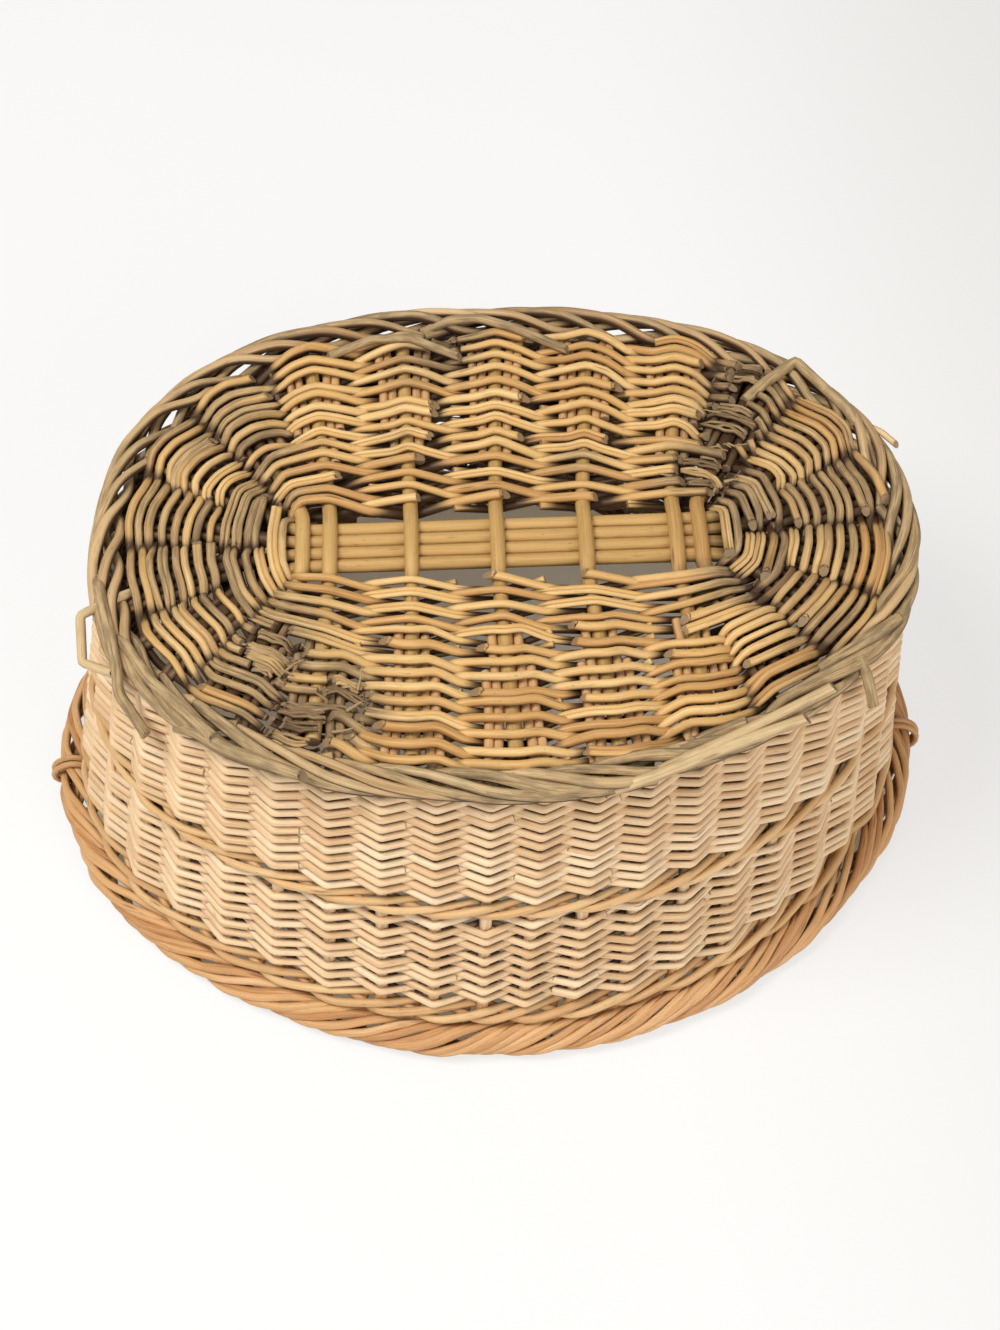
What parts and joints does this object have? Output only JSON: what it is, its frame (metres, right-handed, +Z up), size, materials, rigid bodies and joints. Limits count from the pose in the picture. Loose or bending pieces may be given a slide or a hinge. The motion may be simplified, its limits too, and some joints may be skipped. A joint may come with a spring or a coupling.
{
  "type": "laundry basket",
  "caption": "Oval willow laundry basket in stake-and-strand weave, with waled foot, randed walls and a rolled border, standing upside down on its rim.",
  "frame": {"origin": "middle of the rim, on the surface that the rim stands on", "axes": "+X along the basket's length, +Z up from the rim to the base; turned 180 degrees about X the basket stands on its base, as in use"},
  "size_m": [0.5986, 0.4892, 0.2459],
  "materials": {
    "stick_willow": "bare willow, matt",
    "base_willow": "bare willow, matt",
    "stake_willow": "bare willow, matt",
    "foot_willow": "weathered, matt",
    "wale_willow": "bare willow, matt",
    "rand_willow": "bare willow, matt"
  },
  "bodies": {
    "root": {"long_stick_1": "stick_willow", "long_stick_2": "stick_willow", "long_stick_3": "stick_willow", "long_stick_4": "stick_willow", "cross_stick_1": "stick_willow", "cross_stick_2": "stick_willow", "cross_stick_3": "stick_willow", "cross_stick_4": "stick_willow", "cross_stick_5": "stick_willow", "cross_stick_6": "stick_willow", "cross_stick_7": "stick_willow", "base_weaver_1": "base_willow", "base_weaver_2": "base_willow", "stake_pair_01": "stake_willow", "stake_pair_02": "stake_willow", "stake_pair_03": "stake_willow", "stake_pair_04": "stake_willow", "stake_pair_05": "stake_willow", "stake_pair_06": "stake_willow", "stake_pair_07": "stake_willow", "stake_pair_08": "stake_willow", "stake_pair_09": "stake_willow", "stake_pair_10": "stake_willow", "stake_pair_11": "stake_willow", "stake_pair_12": "stake_willow", "stake_pair_13": "stake_willow", "stake_pair_14": "stake_willow", "stake_pair_15": "stake_willow", "stake_pair_16": "stake_willow", "stake_pair_17": "stake_willow", "stake_pair_18": "stake_willow", "stake_pair_19": "stake_willow", "stake_pair_20": "stake_willow", "stake_pair_21": "stake_willow", "stake_pair_22": "stake_willow", "foot_wale_rod_1": "foot_willow", "foot_wale_rod_2": "foot_willow", "foot_wale_rod_3": "foot_willow", "middle_wale_rod_1": "wale_willow", "middle_wale_rod_2": "wale_willow", "middle_wale_rod_3": "wale_willow", "top_wale_rod_1": "wale_willow", "top_wale_rod_2": "wale_willow", "top_wale_rod_3": "wale_willow", "lashing_left": "wale_willow", "lashing_right": "wale_willow", "lower_rand_strand_1": "rand_willow", "lower_rand_strand_2": "rand_willow", "upper_rand_strand_1": "rand_willow", "upper_rand_strand_2": "rand_willow"}
  },
  "joints": []
}
